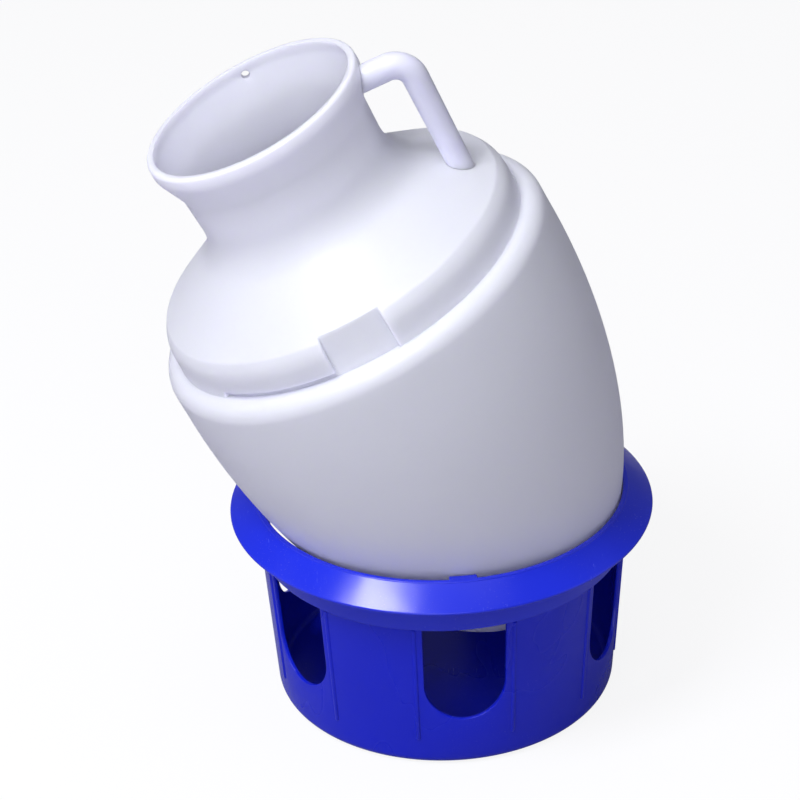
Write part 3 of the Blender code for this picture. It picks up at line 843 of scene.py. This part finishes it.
@dataclass
class WaterJug:
    """Blown shell: lip, flared mouth, neck, shoulder, belt with its bayonet, ledge, body and foot."""

    stance: JugStance = field(default_factory=JugStance)
    height: float = 0.2900
    wall: float = 0.0020
    mouth_radius: float = 0.0518
    lip_width: float = 0.0035
    lip_height: float = 0.0060
    lip_flare: float = 0.0004
    lip_round: float = 0.0016
    lip_foot_round: float = 0.0080
    lip_lining_depth: float = 0.0050
    lip_lining_round: float = 0.0100
    flare_depth: float = 0.0205
    flare_radius: float = 0.0462
    flare_round: float = 0.0120
    flare_lining_round: float = 0.0300
    neck_radius: float = 0.0451
    shoulder_depth: float = 0.0514
    shoulder_round: float = 0.0220
    belt_top_radius: float = 0.0838
    belt_top_depth: float = 0.0759
    belt_top_round: float = 0.0040
    belt_bend_radius: float = 0.0869
    belt_bend_depth: float = 0.0810
    belt_bend_round: float = 0.0120
    belt_radius: float = 0.0874
    belt_foot_depth: float = 0.0938
    belt_foot_round: float = 0.0006
    ledge_radius: float = 0.0960
    ledge_round: float = 0.0115
    ledge_run: float = 0.0180
    body_radius: float = 0.0965
    widest_depth: float = 0.1230
    body_steps: int = 40
    foot_radius: float = 0.0366
    foot_round: float = 0.0060
    foot_ring: float = 0.0100
    foot_hollow: float = 0.0030
    recess_radius: float = 0.0853
    recess_edge_round: float = 0.0008
    belt_slack: float = 0.0012
    entry_start: float = -3.0 * DEGREE
    entry_end: float = 17.0 * DEGREE
    track_start: float = -43.0 * DEGREE
    track_height: float = 0.0027
    hole_radius: float = 0.0020
    hole_depth: float = 0.0054
    hole_turn: float = 187.5 * DEGREE
    finish: PlasticFinish = MILK_JUG

    def _body_at(self, depth: float) -> float:
        """Radius of the egg-shaped body at a depth under the lip."""
        length = (self.height - self.widest_depth) / math.sqrt(1.0 - (self.foot_radius / self.body_radius) ** 2)
        return self.body_radius * math.sqrt(1.0 - ((depth - self.widest_depth) / length) ** 2)

    def _outer(self) -> tuple[list[Vector], float]:
        """Outer profile, from the middle of the foot up to the lip.

        Returns:
            The points, and the height at which the dome meets the recesses' floor.
        """
        corners: list[Triple] = [
            (self.mouth_radius - self.lip_width, self.height, self.lip_round),
            (self.mouth_radius, self.height, self.lip_round),
            (self.mouth_radius + self.lip_flare, self.height - self.lip_height, self.lip_foot_round),
            (self.flare_radius, self.height - self.flare_depth, self.flare_round),
            (self.neck_radius, self.height - self.shoulder_depth, self.shoulder_round),
            (self.belt_top_radius, self.height - self.belt_top_depth, self.belt_top_round),
            (self.belt_bend_radius, self.height - self.belt_bend_depth, self.belt_bend_round),
            (self.belt_radius, self.height - self.belt_foot_depth, self.belt_foot_round),
            (self.ledge_radius, self.height - self.belt_foot_depth, self.ledge_round),
        ]
        start = self.belt_foot_depth + self.ledge_run
        end = self.height - self.foot_round
        for step in range(self.body_steps + 1):
            depth = start + (end - start) * math.sin(math.pi / 2.0 * step / self.body_steps)
            corners.append((self._body_at(depth), self.height - depth, 0.0))
        hollow = self.foot_radius - self.foot_ring
        corners += [
            (self.foot_radius, 0.0, self.foot_round),
            (hollow, 0.0, self.foot_hollow),
            (hollow - self.foot_hollow, self.foot_hollow, self.foot_hollow),
            (0.0, self.foot_hollow, 0.0),
        ]
        track_top = self.height - self.belt_foot_depth + self.track_height
        points, _ = Turning.crossing(Turning.rounded(corners), lambda point: point.z - track_top)
        points, recess_top = Turning.crossing(points, lambda point: point.x - self._recess_floor(point.z))
        return list(reversed(points)), recess_top

    def _recess_floor(self, height: float) -> float:
        """Radius of the recesses' floor at a height: it leans as the belt's side does."""
        taper = (self.belt_radius - self.belt_top_radius) / (self.belt_foot_depth - self.belt_top_depth)
        return self.recess_radius - taper * (height - self.height + self.belt_foot_depth)

    def build(self) -> bpy.types.Object:
        """Builds the shell.

        Returns:
            The shell's object.
        """
        outer, recess_top = self._outer()
        neck = self.height - (self.flare_depth + self.shoulder_depth) / 2.0
        inner = [point for point in Turning.inward(outer, self.wall) if point.z < neck]
        inner[0].x = 0.0
        lip = self.mouth_radius - self.lip_width
        mouth = Turning.rounded([
            (self.neck_radius - self.wall, neck, 0.0),
            (self.flare_radius - self.wall, self.height - self.flare_depth, self.flare_lining_round),
            (lip, self.height - self.lip_lining_depth, self.lip_lining_round),
            (lip, self.height - self.lip_round * 1.05, 0.0),
        ])
        mesh = Turning.spun(outer + list(reversed(inner + mouth)))
        self._press_bayonet(mesh, recess_top)
        Turning.weld(mesh)
        self._soften_bayonet(mesh, recess_top)
        piece = Turning.finished(NodeName.SHELL, mesh, self.stance.matrix())
        self._drill_level_hole(piece)
        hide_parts(NodeName.SHELL.value)
        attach(piece, BodyName.JUG.value)
        return piece

    def _press_bayonet(self, mesh: bmesh.types.BMesh, recess_top: float) -> None:
        """Presses the entries and tracks into the belt, and the lining behind them.

        Args:
            mesh: the turned shell.
            recess_top: height at which the entries begin.
        """
        foot = self.height - self.belt_foot_depth
        track_top = foot + self.track_height
        margin = self.wall
        swing = margin / self.belt_radius
        bmesh.ops.recalc_face_normals(mesh, faces=mesh.faces)
        for half in range(2):
            away = math.pi * half
            outer_faces = []
            lining_faces = []
            for face in mesh.faces:
                middle = face.calc_center_median()
                reach = math.hypot(middle.x, middle.y)
                facing = (face.normal.x * middle.x + face.normal.y * middle.y) / max(reach, MERGE_DISTANCE)
                in_entry = turned_between(middle, self.entry_start + away, self.entry_end + away)
                in_track = turned_between(middle, self.track_start + away, self.entry_start + away)
                floor = self._recess_floor(middle.z)
                belt = facing > UPRIGHT_SHARE and floor < reach < self.belt_radius + self.belt_slack
                if belt and foot < middle.z:
                    if (in_entry and middle.z < recess_top) or (in_track and middle.z < track_top):
                        outer_faces.append(face)
                start, end = away - swing, away + swing
                near_entry = turned_between(middle, self.entry_start + start, self.entry_end + end)
                near_track = turned_between(middle, self.track_start + start, self.entry_start + away)
                lining = facing < -UPRIGHT_SHARE and floor - margin < reach < self.belt_radius
                if lining and foot - margin < middle.z:
                    if near_entry or (near_track and middle.z < track_top + margin):
                        lining_faces.append(face)
            LOG.info("bayonet %d: %d belt faces, %d lining", half + 1, len(outer_faces), len(lining_faces))
            Turning.sink(mesh, lining_faces, lambda height: self._recess_floor(height) - margin)
            Turning.sink(mesh, outer_faces, self._recess_floor)

    def _soften_bayonet(self, mesh: bmesh.types.BMesh, recess_top: float) -> None:
        """Rounds the outer edges of the entries and tracks, as blown plastic has them.

        Args:
            mesh: the shell with its pressed recesses.
            recess_top: height at which the entries begin.
        """
        bmesh.ops.recalc_face_normals(mesh, faces=mesh.faces)
        foot = self.height - self.belt_foot_depth
        edges = []
        for edge in mesh.edges:
            heights = [vert.co.z for vert in edge.verts]
            if len(edge.link_faces) != 2 or min(heights) < foot - MERGE_DISTANCE or max(heights) > recess_top:
                continue
            middle = sum((vert.co for vert in edge.verts), Vector()) / 2.0
            reach = math.hypot(middle.x, middle.y)
            outward = Vector((middle.x, middle.y, 0.0)) / reach
            facing = max(face.normal.dot(outward) for face in edge.link_faces)
            standing = reach > self._recess_floor(middle.z) + self.recess_edge_round / 3.0
            if facing > 0.5 and standing and edge.calc_face_angle_signed(0.0) > CREASE_TURN:
                edges.append(edge)
        Turning.soften(mesh, edges, self.recess_edge_round)
        LOG.info("softened %d edges of the bayonet", len(edges))

    def _drill_level_hole(self, piece: bpy.types.Object) -> None:
        """Cuts the small level hole through the lip.

        Args:
            piece: the shell's object.
        """
        drill = bmesh.new()
        turn = Matrix.Rotation(self.hole_turn, 4, "Z")
        place = turn @ Matrix.Translation((0.0, -self.mouth_radius, self.height - self.hole_depth))
        bmesh.ops.create_cone(
            drill, cap_ends=True, segments=40, radius1=self.hole_radius, radius2=self.hole_radius,
            depth=self.lip_width * 4.0,
            matrix=self.stance.matrix() @ place @ Matrix.Rotation(math.pi / 2.0, 4, "X"),
        )
        tool = Turning.plain("level_hole_drill", drill)
        cut = piece.modifiers.new("level_hole", "BOOLEAN")
        cut.object = tool
        cut.operation = "DIFFERENCE"
        cut.solver = "EXACT"
        bpy.context.view_layer.update()
        drilled = bpy.data.meshes.new_from_object(piece.evaluated_get(bpy.context.evaluated_depsgraph_get()))
        piece.modifiers.clear()
        piece.data = drilled
        bpy.data.objects.remove(tool)


@dataclass
class CarryingHandle:
    """Round bar from under the lip, out and down to the shoulder."""

    stance: JugStance = field(default_factory=JugStance)
    jug_height: float = 0.2900
    bar_radius: float = 0.0061
    foot_scale: float = 0.91
    reach: float = 0.0717
    top_depth: float = 0.0103
    bend: float = 0.0095
    inner_end: float = 0.0484
    inner_lean: float = 0.29
    foot_reach: float = 0.0703
    foot_depth: float = 0.0683
    foot_lean: float = 0.633
    sides: int = 48
    # darker than the shell's plastic: painted shade on the bar
    finish: PlasticFinish = MILK_HANDLE_PAINTED_SHADE

    def build(self) -> bpy.types.Object:
        """Builds the bar by carrying a ring along its route.

        Returns:
            The handle's object.
        """
        top = self.jug_height - self.top_depth
        foot = self.jug_height - self.foot_depth
        route = Turning.rounded([
            (self.inner_end, top, 0.0),
            (self.reach, top, self.bend),
            (self.foot_reach, foot, 0.0),
        ], 4.0 * DEGREE)
        mesh = bmesh.new()
        place = Matrix.Translation(route[0]) @ Matrix.Rotation(math.pi / 2.0, 4, "Y")
        ring = bmesh.ops.create_circle(
            mesh, cap_ends=False, radius=self.bar_radius, segments=self.sides, matrix=place,
        )["verts"]
        edges = first_edges = mesh.edges[:]
        for index in range(1, len(route)):
            made = bmesh.ops.extrude_edge_only(mesh, edges=edges)
            verts = [item for item in made["geom"] if isinstance(item, bmesh.types.BMVert)]
            edges = [item for item in made["geom"] if isinstance(item, bmesh.types.BMEdge)
                     and all(vert in verts for vert in item.verts)]
            bmesh.ops.translate(mesh, vec=route[index] - route[index - 1], verts=verts)
            turn = self._heading(route, index - 1).rotation_difference(self._heading(route, index))
            bmesh.ops.rotate(mesh, cent=route[index], matrix=turn.to_matrix(), verts=verts)
            scale = self._scale(route, index) / self._scale(route, index - 1)
            centred = Matrix.Translation(-route[index])
            bmesh.ops.scale(mesh, vec=(scale, scale, scale), space=centred, verts=verts)
        for vert in ring:
            vert.co.x = self.inner_end - self.inner_lean * (top - vert.co.z)
        for vert in verts:
            vert.co.z = foot - self.foot_lean * (vert.co.x - self.foot_reach)
        bmesh.ops.holes_fill(mesh, edges=first_edges + edges, sides=self.sides)
        piece = Turning.finished(NodeName.HANDLE, mesh, self.stance.matrix())
        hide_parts(NodeName.HANDLE.value)
        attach(piece, BodyName.JUG.value)
        return piece

    @staticmethod
    def _heading(route: list[Vector], index: int) -> Vector:
        """Direction of the bar at a point of its route."""
        first = route[max(0, index - 1)]
        second = route[min(len(route) - 1, index + 1)]
        return (second - first).normalized()

    def _scale(self, route: list[Vector], index: int) -> float:
        """Thickness of the bar at a point of its route, as a share of the full bar."""
        share = (route[0].z - route[index].z) / (route[0].z - route[-1].z)
        return 1.0 + (self.foot_scale - 1.0) * share


# The studio


@dataclass(frozen=True)
class SoftLamp:
    """A square lamp panel that looks at the object's middle."""

    name: str
    place: Triple
    size: float
    energy: float

    def build(self, colour: Triple, target: Vector) -> None:
        """Adds the lamp.

        Args:
            colour: its light.
            target: the point that it looks at.
        """
        data = bpy.data.lights.new(self.name, "AREA")
        data.size = self.size
        data.energy = self.energy
        data.color = colour
        lamp = linked(self.name, data)
        lamp.location = self.place
        lamp.rotation_euler = (target - Vector(self.place)).to_track_quat("-Z", "Y").to_euler()


@dataclass
class Studio:
    """Pale floor, soft lamps and the camera at the photograph's angle."""

    lamps: tuple[SoftLamp, ...] = (
        SoftLamp("key_lamp", (-0.96, -0.80, 2.00), 0.75, 41.0),
        SoftLamp("front_lamp", (-0.2, -1.6, 1.3), 1.2, 10.4),
        SoftLamp("low_lamp", (-0.5, -1.7, 0.25), 0.9, 4.3),
        SoftLamp("left_lamp", (-1.6, -0.2, 0.7), 1.2, 2.5),
        SoftLamp("right_lamp", (1.6, -0.3, 0.7), 1.2, 2.5),
        SoftLamp("top_lamp", (0.0, 0.0, 2.2), 1.5, 8.8),
    )
    lamp_colour: Triple = (0.88, 0.885, 1.0)
    lamp_target: Triple = (0.0, 0.0, 0.15)
    sky_strength: float = 0.19
    horizon_strength: float = 0.17
    floor_half: float = 6.0
    floor_drop: float = 0.0003
    floor_colour: Colour = (0.92, 0.92, 0.93, 1.0)
    floor_bounce: Colour = (0.37, 0.36, 0.40, 1.0)
    floor_glow: float = 0.88
    camera_place: Triple = (-0.01810, -1.07890, 0.74299)
    camera_target: Triple = (-0.01810, 0.0, 0.15213)
    camera_lens: float = 116.91
    camera_roll: float = -0.03678

    def build(self) -> None:
        """Builds the floor, the lamps, the world and the camera."""
        self._floor()
        for lamp in self.lamps:
            lamp.build(self.lamp_colour, Vector(self.lamp_target))
        self._world()
        self._camera()
        bpy.context.scene.view_settings.view_transform = "Standard"

    def _floor(self) -> None:
        """Wide pale floor that shows white to the camera and keeps the object's shadow."""
        mesh = bmesh.new()
        lowered = Matrix.Translation((0.0, 0.0, -self.floor_drop))
        bmesh.ops.create_grid(mesh, x_segments=2, y_segments=2, size=self.floor_half, matrix=lowered)
        floor = Turning.plain("studio_floor", mesh)
        made = bpy.data.materials.new("pale_floor")
        made.use_nodes = True
        sheet = NodeSheet(made.node_tree)
        sheet.tree.nodes.clear()
        matte = sheet.node("ShaderNodeBsdfDiffuse", {"Color": self.floor_colour}).outputs[0]
        bounce = sheet.node("ShaderNodeBsdfDiffuse", {"Color": self.floor_bounce}).outputs[0]
        glow = sheet.node("ShaderNodeEmission", {"Color": WHITE, "Strength": 1.0}).outputs[0]
        bright = sheet.node("ShaderNodeMixShader", {0: self.floor_glow, 1: matte, 2: glow}).outputs[0]
        self._shown_to_camera(sheet, bounce, bright, "ShaderNodeOutputMaterial")
        floor.data.materials.append(made)

    def _world(self) -> None:
        """Soft surroundings, brighter overhead, that show white behind the object."""
        world = bpy.data.worlds.new("studio_world")
        world.use_nodes = True
        sheet = NodeSheet(world.node_tree)
        sheet.tree.nodes.clear()
        where = sheet.node("ShaderNodeTexCoord").outputs["Generated"]
        height = sheet.node("ShaderNodeSeparateXYZ", {"Vector": where}).outputs["Z"]
        strength = sheet.spread(height, 0.0, 0.8, self.horizon_strength, self.sky_strength)
        sky = {"Color": (*self.lamp_colour, 1.0), "Strength": strength}
        around = sheet.node("ShaderNodeBackground", sky).outputs[0]
        white = sheet.node("ShaderNodeBackground", {"Color": WHITE, "Strength": 1.0}).outputs[0]
        self._shown_to_camera(sheet, around, white, "ShaderNodeOutputWorld")
        bpy.context.scene.world = world

    @staticmethod
    def _shown_to_camera(
        sheet: NodeSheet, plain: bpy.types.NodeSocket, bright: bpy.types.NodeSocket, output: str,
    ) -> None:
        """Shows one shader to the camera and lights the object with another.

        Args:
            sheet: the node sheet.
            plain: the shader that lights the object.
            bright: the shader that the camera sees.
            output: type name of the output node.
        """
        seen = sheet.node("ShaderNodeLightPath").outputs["Is Camera Ray"]
        mixed = sheet.node("ShaderNodeMixShader", {0: seen, 1: plain, 2: bright}).outputs[0]
        sheet.node(output, {"Surface": mixed})

    def _camera(self) -> None:
        """Places the camera at the photograph's viewing angle."""
        data = bpy.data.cameras.new("camera")
        data.sensor_width = 36.0
        data.lens = self.camera_lens
        data.clip_start = 0.05
        data.clip_end = 50.0
        camera = linked("camera", data)
        place = Vector(self.camera_place)
        back = (place - Vector(self.camera_target)).normalized()
        right = Vector((1.0, 0.0, 0.0))
        up = back.cross(right)
        turned_right = right * math.cos(self.camera_roll) + up * math.sin(self.camera_roll)
        turned_up = up * math.cos(self.camera_roll) - right * math.sin(self.camera_roll)
        basis = Matrix((turned_right, turned_up, back)).transposed()
        camera.matrix_world = Matrix.Translation(place) @ basis.to_4x4()
        bpy.context.scene.camera = camera


def main() -> None:
    """Builds and dresses every piece, then sets up the studio."""
    logging.basicConfig(level=logging.INFO, format="%(message)s")
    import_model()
    effects = SurfaceEffects()
    for maker in (DrinkingDrum(), CollarRing(), WaterJug(), CarryingHandle()):
        piece = maker.build()
        piece.data.materials.clear()
        piece.data.materials.append(maker.finish.material(effects))
        LOG.info("%s: %d faces", piece.name, len(piece.data.polygons))
    Studio().build()


if __name__ == "__main__":
    main()
